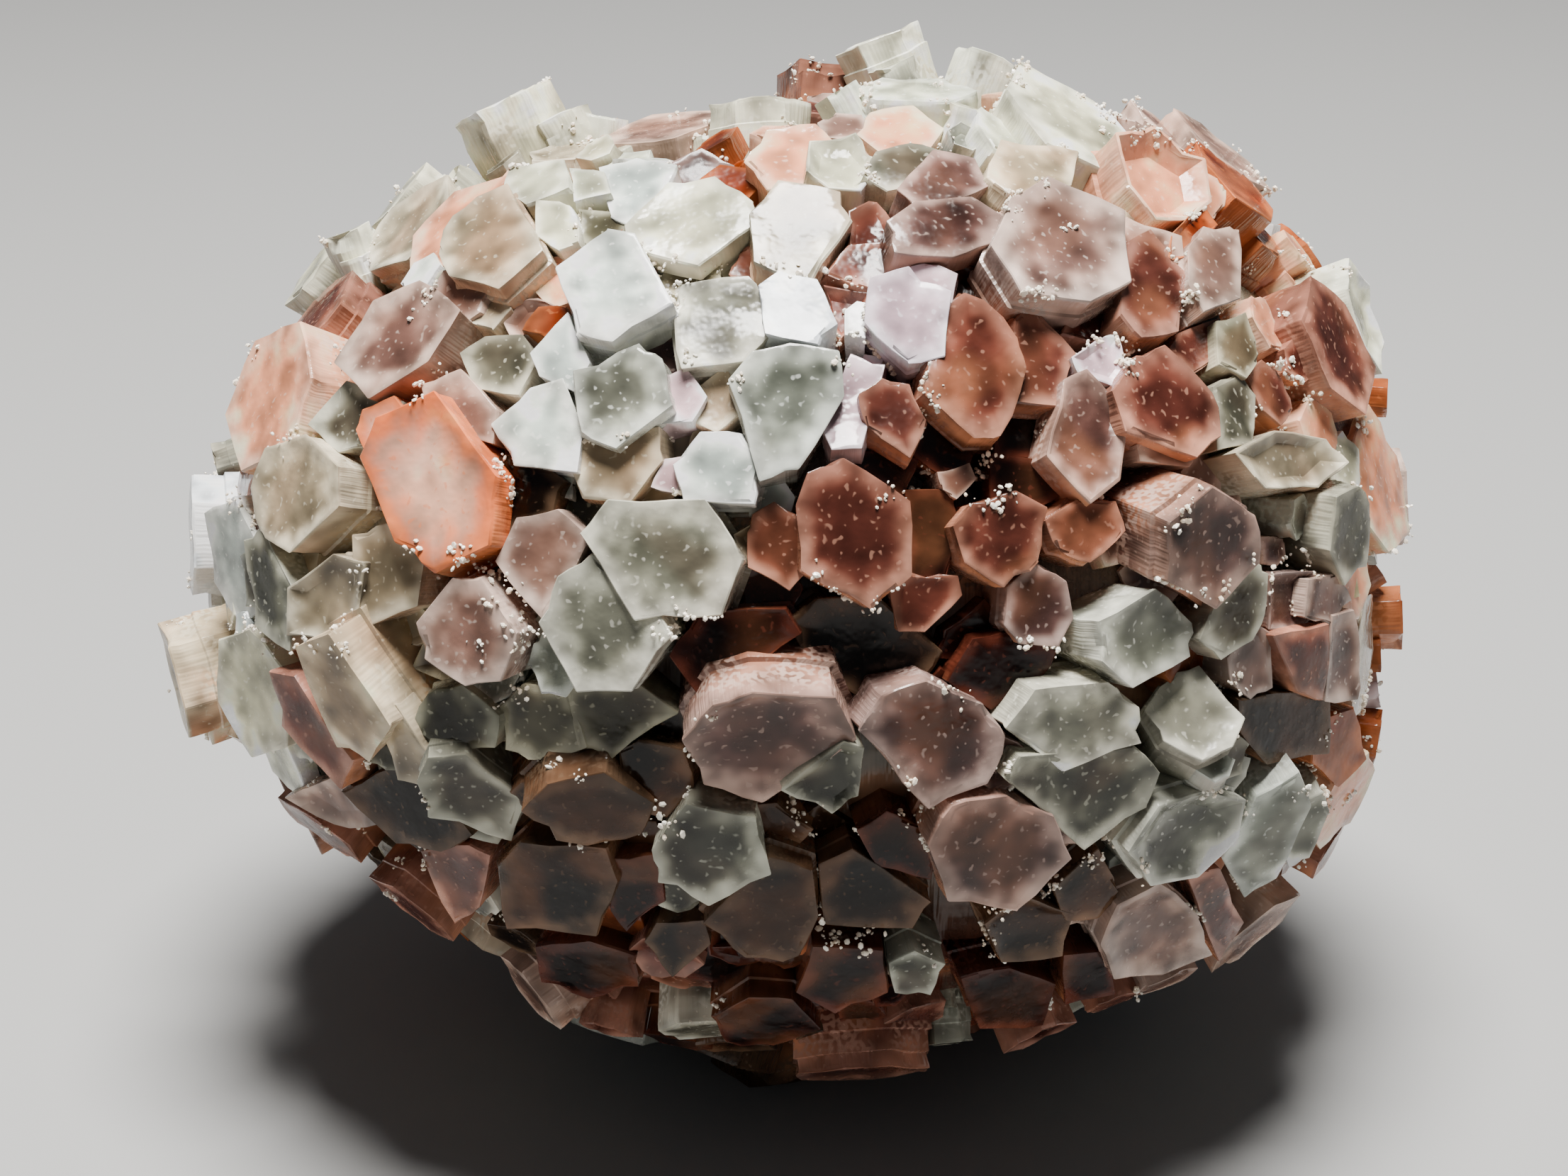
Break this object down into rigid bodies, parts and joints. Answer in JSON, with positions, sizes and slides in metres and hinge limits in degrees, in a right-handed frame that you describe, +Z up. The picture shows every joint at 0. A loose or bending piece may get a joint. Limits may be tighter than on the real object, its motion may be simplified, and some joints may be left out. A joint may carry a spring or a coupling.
{
  "type": "aragonite cluster",
  "caption": "Rounded aragonite cluster of stubby hexagonal prisms radiating from one middle, pale grey with red-brown and orange staining, shown as a mineral specimen.",
  "frame": {"origin": "on the ground, under the middle of the cluster's box", "axes": "+X to the right in the front view, +Y to the back, +Z up"},
  "size_m": [0.0692, 0.0606, 0.058],
  "materials": {
    "aragonite": "frosted"
  },
  "bodies": {
    "root": {"aragonite_cluster": "aragonite"}
  },
  "joints": []
}
